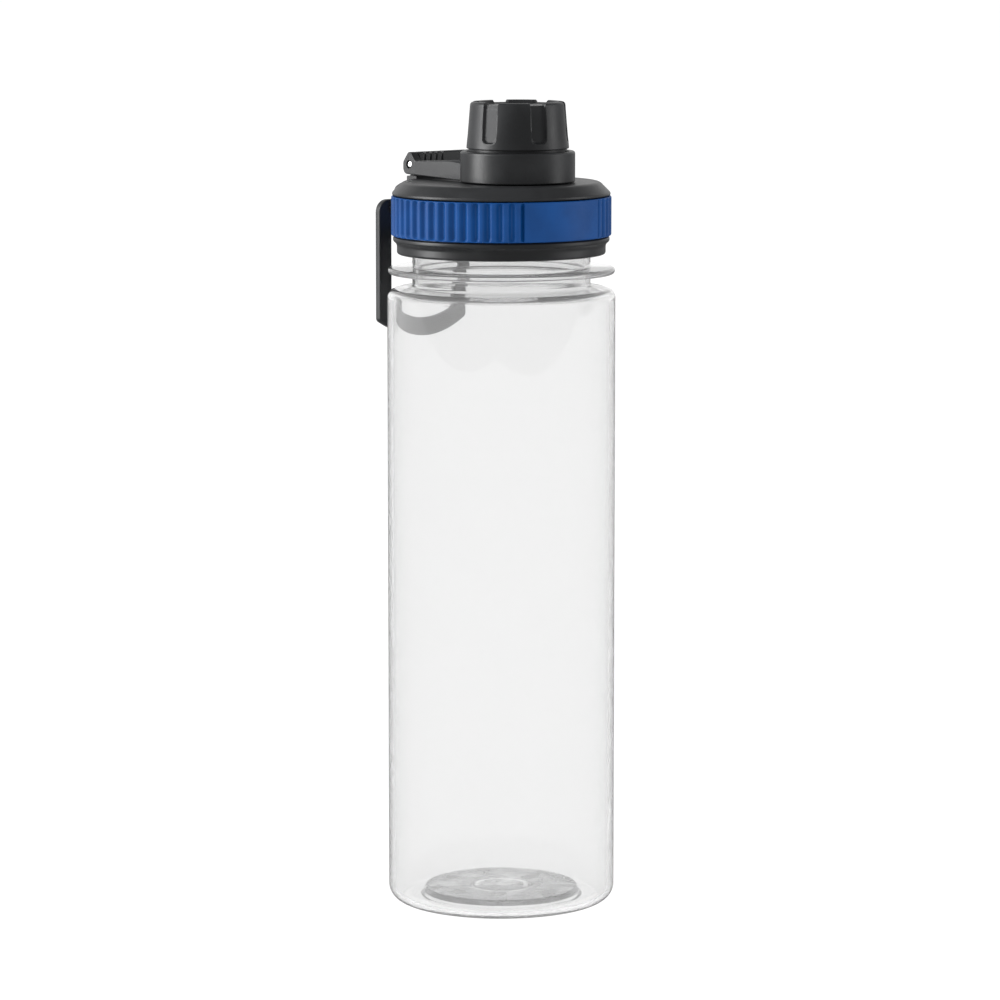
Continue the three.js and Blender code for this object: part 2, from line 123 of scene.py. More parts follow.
# Adds points to the stretches that run inside the box (low, high), so that a rule can shape them.
def splitStretches(points, low, high, step, closed):
    done = []
    count = len(points)
    for i, a in enumerate(points):
        done.append(a)
        if i == count - 1 and not closed:
            break
        b = points[(i + 1) % count]
        outside = any(max(a[k], b[k]) < low[k] or min(a[k], b[k]) > high[k] for k in (0, 1))
        parts = 1 if outside else math.ceil((b - a).length / step)
        done += [a.lerp(b, k / parts) for k in range(1, parts)]
    return done


def makeObject(name, vertices, faces):
    mesh = bpy.data.meshes.new(name)
    mesh.from_pydata([tuple(c * mm for c in v) for v in vertices], [], faces)
    piece = bpy.data.objects.new(name, mesh)
    scene.collection.objects.link(piece)
    return piece


def pointOutwards(piece):
    shape = bmesh.new()
    shape.from_mesh(piece.data)
    bmesh.ops.remove_doubles(shape, verts=shape.verts, dist=0.002 * mm)
    bmesh.ops.recalc_face_normals(shape, faces=shape.faces)
    shape.to_mesh(piece.data)
    shape.free()


# A profile of (radius, height, round) corners turned about the upright axis at x = 0, y = axisY.
def lathe(name, corners, axisY=0.0, segments=192, closed=False, fine=()):
    profile = roundOff(corners, closed)
    for low, high, step in fine:
        profile = splitStretches(profile, low, high, step, closed)
    vertices, rows, faces = [], [], []
    for radius, height in profile:
        around = segments if radius > 1e-6 else 1
        rows.append(range(len(vertices), len(vertices) + around))
        for k in range(around):
            a = 2 * math.pi * k / segments
            vertices.append((radius * math.cos(a), axisY + radius * math.sin(a), height))
    pairs = list(zip(rows, rows[1:] + rows[:1]))
    for low, high in pairs if closed else pairs[:-1]:
        for k in range(segments):
            after = k + 1
            ring = [low[k % len(low)], low[after % len(low)], high[after % len(high)], high[k % len(high)]]
            faces.append([v for i, v in enumerate(ring) if v not in ring[:i]])
    piece = makeObject(name, vertices, [f for f in faces if len(f) > 2])
    pointOutwards(piece)
    return piece


# A flat outline made thick: "x" takes (y, z) corners and runs along X, "y" takes (x, z) corners.
def slab(name, corners, low, high, along="x", bevel=0.3):
    points = roundOff(corners, closed=True)
    count = len(points)

    def place(point, depth):
        return (depth, point.x, point.y) if along == "x" else (point.x, depth, point.y)

    vertices = [place(p, depth) for depth in (low, high) for p in points]
    sides = [(k, (k + 1) % count, count + (k + 1) % count, count + k) for k in range(count)]
    piece = makeObject(name, vertices, [tuple(range(count)), tuple(range(count, 2 * count)), *sides])
    pointOutwards(piece)
    if bevel:
        shape = bmesh.new()
        shape.from_mesh(piece.data)
        rim = [e for e in shape.edges if any(len(f.verts) > 4 for f in e.link_faces)]
        bmesh.ops.bevel(shape, geom=rim, offset=bevel * mm, segments=3, profile=0.5, affect="EDGES",
                        clamp_overlap=True)
        shape.to_mesh(piece.data)
        shape.free()
    return piece


# A rod along X with rounded ends.
def rod(name, radius, low, high, y, z, edge=0.0, segments=64):
    corners = [(0, low), (radius, low, edge), (radius, high, edge), (0, high)]
    piece = lathe(name, corners, segments=segments)
    for vertex in piece.data.vertices:
        across, up, along = vertex.co
        vertex.co = (along, y * mm + across, z * mm + up)
    pointOutwards(piece)
    return piece


def settle(piece):
    depsgraph = bpy.context.evaluated_depsgraph_get()
    depsgraph.update()
    mesh = bpy.data.meshes.new_from_object(piece.evaluated_get(depsgraph))
    piece.modifiers.clear()
    piece.data = mesh
    return piece


def combine(operation, piece, tools):
    for tool in tools:
        cut = piece.modifiers.new(operation, "BOOLEAN")
        cut.operation = operation
        cut.solver = "MANIFOLD"
        cut.object = tool
        before = len(piece.data.vertices)
        settle(piece)
        if len(piece.data.vertices) == before:
            print("note: nothing changed in", piece.name, "by", tool.name)
        bpy.data.objects.remove(tool)
    return piece


# An output of a node tree that can be written in sums.
class Wire:
    def __init__(self, graph, socket):
        self.graph = graph
        self.socket = socket

    def __add__(self, other):
        return self.graph.maths("ADD", self, other)

    def __radd__(self, other):
        return self.graph.maths("ADD", other, self)

    def __sub__(self, other):
        return self.graph.maths("SUBTRACT", self, other)

    def __rsub__(self, other):
        return self.graph.maths("SUBTRACT", other, self)

    def __mul__(self, other):
        return self.graph.maths("MULTIPLY", self, other)

    def __rmul__(self, other):
        return self.graph.maths("MULTIPLY", other, self)

    def __truediv__(self, other):
        return self.graph.maths("DIVIDE", self, other)

    def __rtruediv__(self, other):
        return self.graph.maths("DIVIDE", other, self)

    def __pow__(self, other):
        return self.graph.maths("POWER", self, other)

    def __mod__(self, other):
        return self.graph.maths("FLOORED_MODULO", self, other)

    def __abs__(self):
        return self.graph.maths("ABSOLUTE", self)

    def __neg__(self):
        return self.graph.maths("MULTIPLY", self, -1.0)


class Graph:
    def __init__(self, tree):
        self.tree = tree

    # A node from its type, its settings and the values or wires of its sockets.
    def add(self, kind, settings=None, sockets=None):
        node = self.tree.nodes.new(kind)
        for key, value in (settings or {}).items():
            if key == "stops":
                while len(node.color_ramp.elements) < len(value):
                    node.color_ramp.elements.new(0.5)
                for element, (place, colour) in zip(node.color_ramp.elements, value):
                    element.position = place
                    element.color = (*colour, 1.0)
            else:
                setattr(node, key, value)
        for key, value in (sockets or {}).items():
            self.feed(node.inputs[key], value)
        return node

    def feed(self, socket, value):
        if isinstance(value, Wire):
            self.tree.links.new(value.socket, socket)
        else:
            socket.default_value = value

    def wire(self, kind, output, settings=None, sockets=None):
        return Wire(self, self.add(kind, settings, sockets).outputs[output])

    def maths(self, operation, *values):
        return self.wire("ShaderNodeMath", "Value", {"operation": operation}, dict(enumerate(values)))

    def least(self, a, b):
        return self.maths("MINIMUM", a, b)

    def most(self, a, b):
        return self.maths("MAXIMUM", a, b)

    # 0 below low, 1 above high, and smooth in between.
    def step(self, value, low, high):
        ends = {"Value": value, "From Min": low, "From Max": high}
        return self.wire("ShaderNodeMapRange", "Result", {"interpolation_type": "SMOOTHSTEP"}, ends)

    # The same as a straight line, from one level to another.
    def level(self, value, low, high, toLow, toHigh):
        ends = {"Value": value, "From Min": low, "From Max": high, "To Min": toLow, "To Max": toHigh}
        return self.wire("ShaderNodeMapRange", "Result", None, ends)

    def split(self, vector):
        node = self.add("ShaderNodeSeparateXYZ", None, {"Vector": vector})
        return [Wire(self, node.outputs[axis]) for axis in "XYZ"]

    def noise(self, vector, scale, detail=2.0, roughness=0.5):
        sockets = {"Vector": vector, "Scale": scale, "Detail": detail, "Roughness": roughness}
        return self.wire("ShaderNodeTexNoise", "Fac", {"noise_dimensions": "3D"}, sockets)

    def blendColours(self, share, first, second):
        node = self.add("ShaderNodeMix", {"data_type": "RGBA"})
        self.feed(node.inputs["Factor"], share)
        self.feed(node.inputs[6], first)
        self.feed(node.inputs[7], second)
        return Wire(self, node.outputs[2])


# Shapes a mesh by a rule on its points. The rule works in millimetres about the upright axis at
# "Axis Y": it is given angle, radius and height, and returns a new radius and a new height.
def shapeByRule(piece, name, sizes, rule, material):
    tree = bpy.data.node_groups.new(name, "GeometryNodeTree")
    tree.interface.new_socket("Geometry", in_out="INPUT", socket_type="NodeSocketGeometry")
    for key in sizes:
        tree.interface.new_socket(key, in_out="INPUT", socket_type="NodeSocketFloat")
    tree.interface.new_socket("Geometry", in_out="OUTPUT", socket_type="NodeSocketGeometry")
    graph = Graph(tree)
    start = graph.add("NodeGroupInput")
    given = {key: Wire(graph, start.outputs[key]) for key in sizes}
    x, y, z = graph.split(graph.wire("GeometryNodeInputPosition", "Position"))
    x = x / mm
    y = y / mm - given["Axis Y"]
    z = z / mm
    radius = graph.maths("SQRT", x * x + y * y)
    angle = graph.maths("ARCTAN2", y, x)
    newRadius, newHeight = rule(graph, angle, radius, z, given)
    grown = newRadius / radius * mm
    sockets = {"X": x * grown, "Y": y * grown + given["Axis Y"] * mm, "Z": newHeight * mm}
    place = graph.wire("ShaderNodeCombineXYZ", "Vector", None, sockets)
    shaped = {"Geometry": Wire(graph, start.outputs["Geometry"]), "Position": place}
    moved = graph.wire("GeometryNodeSetPosition", "Geometry", None, shaped)
    whole = graph.wire("GeometryNodeRealizeInstances", "Geometry", None, {"Geometry": moved})
    finish = {"Geometry": whole, "Material": material}
    painted = graph.wire("GeometryNodeSetMaterial", "Geometry", None, finish)
    graph.add("NodeGroupOutput", None, {"Geometry": painted})
    modifier = piece.modifiers.new(name, "NODES")
    modifier.node_group = tree
    for item in tree.interface.items_tree:
        if item.in_out == "INPUT" and item.name in sizes:
            modifier[item.identifier] = float(sizes[item.name])
    return settle(piece)


# How far a screw thread stands out at a point, in millimetres.
def threadHeight(graph, angle, height, given, starts, turns):
    full = 2 * math.pi
    highest = 0.0
    for start in range(starts):
        begin = given["Start"] + full * start / starts
        fromStart = (angle - begin) % full
        for turn in range(math.ceil(turns)):
            along = fromStart + full * turn
            middle = given["Base"] + given["Lead"] * along / full
            away = abs(height - middle)
            form = 1.0 - graph.step(away, given["Land"] / 2, given["Root"] / 2)
            ends = graph.least(along, given["Turns"] * full - along)
            ridge = form * graph.step(ends, 0.0, given["Fade"])
            highest = graph.most(highest, ridge)
    return highest * given["Depth"]


def newMaterial(name):
    material = bpy.data.materials.new(name)
    material.use_nodes = True
    material.node_tree.nodes.clear()
    graph = Graph(material.node_tree)
    coordinates = graph.wire("ShaderNodeTexCoord", "Object")
    return material, graph, coordinates


def finishMaterial(graph, sockets, volume=None):
    shader = graph.wire("ShaderNodeBsdfPrincipled", "BSDF", None, sockets)
    output = graph.add("ShaderNodeOutputMaterial", None, {"Surface": shader})
    if volume:
        graph.feed(output.inputs["Volume"], volume)


clearSizes = {
    "tint": (0.985, 0.985, 0.985, 1.0),
    "ior": 1.5,
    "clear": 0.87,
    "depthColour": (0.80, 0.81, 0.815, 1.0),
    "density": 30.0,
    "smooth": 0.0,
    "handled": 0.03,
    "footTint": (0.50, 0.505, 0.51, 1.0),
    "footRough": 0.3,
    "footRadius": 24.6,
    "footHeight": 5.0,
}


def makeClearPlastic():
    material, graph, at = newMaterial("clearCopolyester")
    flow = graph.noise(at, 22.0, 2.0)  # slow ripple of the moulded wall
    scuffs = graph.noise(at, 260.0, 4.0, 0.6)
    rough = graph.level(scuffs, 0.45, 0.8, clearSizes["smooth"], clearSizes["handled"])
    # the sunk middle of the foot is left with the spark-eroded grain of the mould
    x, y, z = graph.split(at)
    fromAxis = graph.maths("SQRT", x * x + y * y)
    footRadius, footHeight = clearSizes["footRadius"] * mm, clearSizes["footHeight"] * mm
    sunkPart = 1.0 - graph.step(fromAxis, footRadius - 0.6 * mm, footRadius)
    sunkPart = sunkPart * (1.0 - graph.step(z, footHeight, footHeight + 0.5 * mm))
    eroded = graph.noise(at, 150.0, 4.0, 0.65)
    plainRing = graph.step(fromAxis, 7.0 * mm, 7.6 * mm) * (1.0 - graph.step(fromAxis, 9.0 * mm, 9.8 * mm))
    patchy = sunkPart * graph.level(eroded, 0.38, 0.62, 0.3, 1.0) * (1.0 - 0.75 * plainRing)
    height = flow + sunkPart * eroded * 6.0
    bump = {"Height": height, "Strength": 0.03, "Distance": 0.4 * mm}
    sockets = {
        "Base Color": graph.blendColours(patchy, clearSizes["tint"], clearSizes["footTint"]),
        "Roughness": rough + patchy * clearSizes["footRough"],
        "IOR": clearSizes["ior"],
        "Transmission Weight": clearSizes["clear"],
        "Normal": graph.wire("ShaderNodeBump", "Normal", None, bump),
    }
    absorb = {"Color": clearSizes["depthColour"], "Density": clearSizes["density"]}
    finishMaterial(graph, sockets, graph.wire("ShaderNodeVolumeAbsorption", "Volume", None, absorb))
    return material


blackSizes = {
    "dark": (0.0075, 0.0082, 0.0092, 1.0),
    "light": (0.0145, 0.0155, 0.0172, 1.0),
    "grain": 1500.0,
    "grainDepth": 0.05,
    "rough": (0.36, 0.52),
}


def makeBlackPlastic():
    material, graph, at = newMaterial("blackPolypropylene")
    cloud = graph.noise(at, 60.0, 3.0)
    grain = graph.noise(at, blackSizes["grain"], 3.0, 0.6)
    colour = graph.blendColours(graph.step(cloud, 0.35, 0.7), blackSizes["dark"], blackSizes["light"])
    rough = graph.level(cloud * 0.6 + grain * 0.4, 0.3, 0.7, *blackSizes["rough"])
    bump = {"Height": grain, "Strength": 0.25, "Distance": blackSizes["grainDepth"] * mm}
    finishMaterial(graph, {
        "Base Color": colour,
        "Roughness": rough,
        "IOR": 1.49,
        "Normal": graph.wire("ShaderNodeBump", "Normal", None, bump),
    })
    return material


blueSizes = {
    "deep": (0.0005, 0.036, 0.146, 1.0),
    "bright": (0.0007, 0.045, 0.180, 1.0),
    "grain": 1900.0,
    "rough": (0.42, 0.58),
}


def makeBlueRubber():
    material, graph, at = newMaterial("blueSoftTouch")
    cloud = graph.noise(at, 90.0, 3.0)
    grain = graph.noise(at, blueSizes["grain"], 2.0, 0.6)
    colour = graph.blendColours(graph.step(cloud, 0.3, 0.7), blueSizes["deep"], blueSizes["bright"])
    bump = {"Height": grain, "Strength": 0.3, "Distance": 0.04 * mm}
    finishMaterial(graph, {
        "Base Color": colour,
        "Roughness": graph.level(grain, 0.3, 0.7, *blueSizes["rough"]),
        "Specular IOR Level": 0.18,
        "Normal": graph.wire("ShaderNodeBump", "Normal", None, bump),
    })
    return material


def makeSilicone():
    material, graph, at = newMaterial("greySilicone")
    cloud = graph.noise(at, 120.0, 2.0)
    colour = graph.blendColours(cloud, (0.55, 0.56, 0.54, 1.0), (0.68, 0.69, 0.67, 1.0))
    grain = graph.noise(at, 1200.0, 2.0)
    bump = {"Height": grain, "Strength": 0.2, "Distance": 0.05 * mm}
    finishMaterial(graph, {
        "Base Color": colour,
        "Roughness": graph.level(grain, 0.3, 0.7, 0.4, 0.55),
        "Transmission Weight": 0.25,
        "Normal": graph.wire("ShaderNodeBump", "Normal", None, bump),
    })
    return material


def makeSteel():
    material, graph, at = newMaterial("stainlessSteel")
    alongX = {"Vector": at, "Scale": (40.0, 2400.0, 2400.0)}
    stretch = graph.wire("ShaderNodeMapping", "Vector", None, alongX)
    drawn = graph.noise(stretch, 1.0, 2.0)
    colour = graph.blendColours(drawn, (0.60, 0.60, 0.61, 1.0), (0.78, 0.78, 0.78, 1.0))
    bump = {"Height": drawn, "Strength": 0.2, "Distance": 0.02 * mm}
    finishMaterial(graph, {
        "Base Color": colour,
        "Roughness": graph.level(drawn, 0.3, 0.7, 0.2, 0.36),
        "Metallic": 1.0,
        "Normal": graph.wire("ShaderNodeBump", "Normal", None, bump),
    })
    return material


clearPlastic = makeClearPlastic()
blackPlastic = makeBlackPlastic()
blueRubber = makeBlueRubber()
silicone = makeSilicone()
steel = makeSteel()
print("materials made")


# Smooths a piece, gives it its material and hands it to the frame.
def finishPiece(piece, material, body, node, sharpAngle=35.0, flatFaces=True):
    pointOutwards(piece)
    piece.data.materials.clear()
    piece.data.materials.append(material)
    piece.data.shade_smooth()
    piece.data.set_sharp_from_angle(angle=math.radians(sharpAngle))
    if flatFaces:
        weights = piece.modifiers.new("weights", "WEIGHTED_NORMAL")
        weights.keep_sharp = True
        settle(piece)
    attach(piece, body)
    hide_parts(node)
    print("made", piece.name, len(piece.data.polygons), "faces")
    return piece


bottleSizes = {
    "wall": 1.8,
    "floor": 1.8,
    "heelRound": 5.0,
    "footInner": 25.4,
    "recess": 2.6,
    "recessSlope": 1.2,
    "gateRing": 8.6,
    "gate": 6.2,
    "gateStep": 0.5,
    "nub": 1.5,
    "shoulderRise": 4.5,
    "shoulderRound": 3.0,
    "neck": 28.1,
    "neckWall": 1.6,
    "flangeRadius": 35.8,
    "flangeThickness": 2.0,
    "flangeAboveShoulder": 3.7,
    "neckAboveFlange": 19.8,
}
markSizes = {
    "Mark Radius": 19.6,
    "Mark Width": 7.6,
    "Mark Span": 0.05,
    "Mark Depth": 0.9,
    "Mark Angle": 2.5,
}
neckThread = {"Lead": 8.0, "Turns": 0.9, "Depth": 1.8, "Land": 1.0, "Root": 2.0, "Fade": 0.6, "Start": 0.0}
threadBelowRim = 14.5

flangeTop = rimZ - bottleSizes["neckAboveFlange"]
flangeBottom = flangeTop - bottleSizes["flangeThickness"]
neckBase = flangeBottom - bottleSizes["flangeAboveShoulder"]
shoulderZ = neckBase - bottleSizes["shoulderRise"]


def bottleRule(graph, angle, radius, height, given):
    onNeck = graph.maths("COMPARE", radius, given["Wall"], 0.05)
    lifted = threadHeight(graph, angle, height, given, starts=2, turns=neckThread["Turns"])
    newRadius = radius + onNeck * lifted
    # two plain raised bars under the foot, either side of the middle
    fromMark = abs((angle - given["Mark Angle"] + math.pi / 2) % math.pi - math.pi / 2)
    halfWidth = given["Mark Width"] / 2
    across = 1.0 - graph.step(abs(radius - given["Mark Radius"]), halfWidth - 0.2, halfWidth)
    along = 1.0 - graph.step(fromMark, given["Mark Span"] - 0.02, given["Mark Span"])
    under = 1.0 - graph.step(height, given["Recess"] + 0.1, given["Recess"] + 0.3)
    return newRadius, height - across * along * under * given["Mark Depth"]


def makeBottle():
    s = bottleSizes
    outer = bodyHigh.x
    inner = outer - s["wall"]
    bore = s["neck"] - s["neckWall"]
    slope = (s["shoulderRise"] - s["shoulderRound"]) / (outer - s["neck"])

    def underShoulder(radius):
        rise = slope * (outer - radius) - s["wall"] * math.hypot(1, slope)
        return shoulderZ + s["shoulderRound"] + rise

    corners = [
        (0, s["recess"] - s["gateStep"] - 0.4),
        (s["nub"], s["recess"] - s["gateStep"] - 0.4, 0.3),
        (s["nub"] + 0.5, s["recess"] - s["gateStep"], 0.3),
        (s["gate"], s["recess"] - s["gateStep"], 0.3),
        (s["gate"] + 0.3, s["recess"], 0.2),
        (s["gateRing"], s["recess"], 0.3),
        (s["gateRing"] + s["gateStep"], s["recess"] + s["gateStep"], 0.5),
        (s["gateRing"] + 3 * s["gateStep"], s["recess"], 0.5),
        (s["footInner"] - s["recessSlope"], s["recess"], 0.5),
        (s["footInner"], 0, 0.5),
        (outer, 0, s["heelRound"]),
        (outer, shoulderZ + s["shoulderRound"], s["shoulderRound"]),
        (s["neck"], neckBase, 1.0),
        (s["neck"], flangeBottom, 0.5),
        (s["flangeRadius"], flangeBottom, 0.95),
        (s["flangeRadius"], flangeTop, 0.95),
        (s["neck"], flangeTop, 0.5),
        (s["neck"], rimZ, 0.8),
        (bore, rimZ, 0.8),
        (bore, underShoulder(bore), s["shoulderRound"]),
        (inner, underShoulder(inner), s["shoulderRound"] - s["wall"]),
        (inner, s["floor"], s["heelRound"] - s["wall"]),
        (s["footInner"], s["floor"], 0.6),
        (s["footInner"] - s["recessSlope"], s["recess"] + s["floor"], 0.6),
        (0, s["recess"] + s["floor"]),
    ]
    threadZone = ((s["neck"] - 1, flangeTop + 1), (s["neck"] + 1, rimZ - 1), 0.25)
    markZone = ((s["gateRing"] + 3, 0.5), (s["footInner"] - 1, s["recess"] + 0.1), 0.35)
    piece = lathe("bottleBody", corners, segments=288, fine=(threadZone, markZone))
    sizes = {
        **neckThread,
        **markSizes,
        "Base": rimZ - threadBelowRim,
        "Wall": s["neck"],
        "Recess": s["recess"],
        "Axis Y": 0.0,
    }
    shapeByRule(piece, "threadAndMarks", sizes, bottleRule, clearPlastic)
    return finishPiece(piece, clearPlastic, "bottle", "bottle_body", flatFaces=False)


makeBottle()


lidSizes = {
    "skirtWall": 2.0,
    "bandReach": 0.5,
    "bandHeight": 3.2,
    "cove": 1.0,
    "beadReach": 1.7,
    "plate": 2.3,
    "cover": 2.2,
    "bevel": 3.4,
    "spoutRadius": 12.6,
    "spoutWall": 1.8,
    "spoutStraight": 11.0,
    "spoutTaper": 2.0,
}
lidThread = {**neckThread, "Start": math.pi / 2, "Depth": 1.8, "Root": 1.9}
capThread = {"Lead": 4.0, "Turns": 1.4, "Depth": 0.7, "Land": 0.8, "Root": 1.7, "Fade": 0.5, "Start": 0.0}
capThreadAboveDeck = 3.4

skirtBore = bottleSizes["neck"] + neckThread["Depth"] + running
skirtRadius = skirtBore + lidSizes["skirtWall"]
skirtBottom = insertLow.z
plateBottom = gasketHigh.z + gap
plateTop = plateBottom + lidSizes["plate"]
coverBottom = plateTop + gap
ringTop = ringHigh.z
ringRadius = ringHigh.x
ringBore = skirtRadius + gap
coverRadius = ringRadius - gap
deckRadius = coverRadius - lidSizes["bevel"]
spoutTop = insertHigh.z


def inwardThread(graph, angle, radius, height, given):
    onWall = graph.maths("COMPARE", radius, given["Wall"], 0.05)
    lifted = threadHeight(graph, angle, height, given, starts=2, turns=lidThread["Turns"])
    return radius - onWall * lifted, height


def spoutThreadRule(graph, angle, radius, height, given):
    onWall = graph.maths("COMPARE", radius, given["Wall"], 0.05)
    lifted = threadHeight(graph, angle, height, given, starts=1, turns=capThread["Turns"])
    return radius + onWall * lifted, height


def makeLidInsert():
    s = lidSizes
    band = skirtRadius + s["bandReach"]
    bead = skirtRadius + s["beadReach"]
    bandTop = skirtBottom + s["bandHeight"]
    beadTop = ringLow.z - gap
    threadZone = ((skirtBore - 1, skirtBottom + 1), (skirtBore + 0.5, plateBottom - 1), 0.3)
    piece = lathe("lidInsert", [
        (skirtBore, skirtBottom, 0.4),
        (band, skirtBottom, 0.8),
        (band, bandTop, 1.6),
        (bead, bandTop + s["cove"], 0.9),
        (bead, beadTop, 0.6),
        (skirtRadius, beadTop),
        (skirtRadius, plateBottom + gap / 2),
        (skirtRadius - s["plate"], plateTop),
        (0, plateTop),
        (0, plateBottom),
        (skirtBore, plateBottom, 0.5),
    ], segments=256, closed=True, fine=(threadZone,))
    sizes = {**lidThread, "Base": rimZ - threadBelowRim, "Wall": skirtBore, "Axis Y": 0.0}
    shapeByRule(piece, "lidThread", sizes, inwardThread, blackPlastic)
    wall = s["spoutRadius"] - s["spoutWall"]
    tip = s["spoutRadius"] - s["spoutTaper"]
    threadZone = ((s["spoutRadius"] - 1, deckZ), (s["spoutRadius"] + 1, deckZ + 12), 0.25)
    spout = lathe("spout", [
        (0, plateTop - sunk),
        (s["spoutRadius"], plateTop - sunk),
        (s["spoutRadius"], deckZ + s["spoutStraight"], 6),
        (tip, spoutTop, 0.9),
        (tip - s["spoutWall"] / 2, spoutTop, 0.4),
        (0, spoutTop),
    ], axisY=spoutY, segments=192, fine=(threadZone,))
    sizes = {
        **capThread,
        "Base": deckZ + capThreadAboveDeck,
        "Wall": s["spoutRadius"],
        "Axis Y": spoutY,
    }
    shapeByRule(spout, "spoutThread", sizes, spoutThreadRule, blackPlastic)
    bore = lathe("bore", [
        (0, plateBottom - 1),
        (wall, plateBottom - 1),
        (wall, deckZ + s["spoutStraight"], 6),
        (tip - s["spoutWall"], spoutTop - 0.6, 0.6),
        (tip - s["spoutWall"] + 0.9, spoutTop + 0.5),
        (0, spoutTop + 0.5),
    ], axisY=spoutY, segments=192)
    combine("UNION", piece, [spout])
    combine("DIFFERENCE", piece, [bore])
    return finishPiece(piece, blackPlastic, "lid", "lid_insert")


hingeSizes = {
    "blockHalf": 10.1,
    "eye": 3.1,
    "peak": 3.9,
    "padHalf": 12.7,
    "pad": 0.75,
    "grooves": 4,
    "grooveWidth": 1.25,
    "groovePitch": 2.35,
    "grooveDepth": 0.8,
    "grooveSlant": 0.35,
}
knuckleSizes = {"half": 9.0, "eye": 2.4, "rise": 0.5, "root": 1.6}


def makeLidCover():
    s, h, k = lidSizes, hingeSizes, knuckleSizes
    bevelInner = coverRadius - s["cover"] * math.tan(math.pi / 8) - (s["cover"] - gap)
    piece = lathe("lidCover", [
        (0, coverBottom),
        (bevelInner - gap, coverBottom),
        (ringBore, ringTop + gap),
        (coverRadius, ringTop + gap, 0.35),
        (coverRadius, deckZ - s["bevel"], 2.2),
        (deckRadius, deckZ, 2.4),
        (0, deckZ),
    ], segments=256)
    hole = lathe("hole", [
        (0, coverBottom - 1),
        (s["spoutRadius"] + capThread["Depth"] + gap, coverBottom - 1),
        (s["spoutRadius"] + capThread["Depth"] + gap, deckZ + 1),
        (0, deckZ + 1),
    ], axisY=spoutY, segments=192)

    def coverAt(y):
        return deckZ - max(0.0, y - deckRadius)

    front, back = hinge.y - h["eye"], hinge.y + h["eye"]
    block = slab("hingeBlock", [
        (front, coverAt(front) - sunk),
        (front, hinge.z - 0.6, 0.3),
        (hinge.y - 1.2, hinge.z + h["peak"], 0.8),
        (hinge.y + 1, hinge.z + h["peak"], 1.4),
        (back, hinge.z + 1, 1.6),
        (back, coverAt(back) - sunk),
    ], -h["blockHalf"], h["blockHalf"], bevel=0.35)
    rootLow = ringTop + gap + k["rise"]
    rootHigh = rootLow + k["root"]
    knuckle = slab("knuckle", [
        (coverRadius - k["root"], rootLow),
        (coverRadius - k["root"], rootHigh),
        (loopAxis.y - 1, rootHigh, 1),
        (loopAxis.y + k["eye"], rootHigh - k["root"], 3),
        (loopAxis.y + k["eye"], loopAxis.z - k["eye"], k["eye"]),
        (loopAxis.y - k["eye"], loopAxis.z - k["eye"], k["eye"]),
        (loopAxis.y - k["eye"], rootLow, 0.3),
    ], -k["half"], k["half"], bevel=0.3)
    padEdge = coverRadius - gap
    padDisc = lathe("padDisc", [
        (0, deckZ - sunk),
        (deckRadius, deckZ - sunk),
        (padEdge, coverAt(padEdge) - sunk),
        (padEdge, deckZ + h["pad"], 0.3),
        (0, deckZ + h["pad"]),
    ], segments=256)
    padFront = front - gap
    pad = slab("pad", [
        (padFront, ringTop),
        (padFront, hinge.z),
        (coverRadius, hinge.z),
        (coverRadius, ringTop),
    ], -h["padHalf"], h["padHalf"], bevel=0)
    # slanting grooves leave ribs on the near half of the block
    grooves = []
    for i in range(h["grooves"]):
        x = 0.6 - h["blockHalf"] + i * h["groovePitch"]
        deep = h["grooveDepth"]
        groove = slab(f"groove{i}", [
            (front - 1, hinge.z - 1.5),
            (front - 1, hinge.z + h["peak"] + 1),
            (hinge.y + 0.6, hinge.z + h["peak"] + 1),
            (hinge.y + 0.6, hinge.z + h["peak"] - deep, 0.3),
            (hinge.y - 1.2, hinge.z + h["peak"] - deep),
            (front + deep, hinge.z - 0.6),
            (front + deep, hinge.z - 1.5),
        ], x, x + h["grooveWidth"], bevel=0)
        for vertex in groove.data.vertices:
            vertex.co.x += (vertex.co.z - hinge.z * mm) * h["grooveSlant"]
        grooves.append(groove)
    combine("DIFFERENCE", piece, [hole])
    combine("DIFFERENCE", block, grooves)
    combine("INTERSECT", padDisc, [pad])
    combine("UNION", piece, [padDisc, block, knuckle])
    axes = enumerate((hinge, loopAxis))
    bores = [rod(f"bore{i}", pinHole, -loopHigh.x, loopHigh.x, c.y, c.z) for i, c in axes]
    combine("DIFFERENCE", piece, bores)
    return finishPiece(piece, blackPlastic, "lid", "lid_cover")


makeLidInsert()
makeLidCover()


ringSizes = {
    "Zones": 2.0,
    "Ridges": 21.0,
    "Pitch": math.radians(6.25),
    "Depth": 1.15,
    "Plain Middle": math.radians(-94),
    "Valley": 0.38,
    "Fade": 0.9,
}


def ringRule(graph, angle, radius, height, given):
    zone = 2 * math.pi / given["Zones"]
    band = given["Ridges"] * given["Pitch"]
    fromPlain = (angle - given["Plain Middle"]) % zone
    intoBand = fromPlain - (zone - band) / 2
    inside = graph.step(intoBand, -0.001, 0.001) * (1.0 - graph.step(intoBand, band - 0.001, band + 0.001))
    share = (intoBand / given["Pitch"]) % 1.0
    fromValley = graph.least(share, 1.0 - share)
    valley = 1.0 - graph.step(fromValley, 0.02, given["Valley"])
    edge = graph.least(height - given["Bottom"], given["Top"] - height)
    onFace = graph.step(radius, given["Bore"] + 0.6, given["Bore"] + 1.2)
    onFace = onFace * graph.step(edge, 0.0, given["Fade"])
    return radius - given["Depth"] * inside * valley * onFace, height


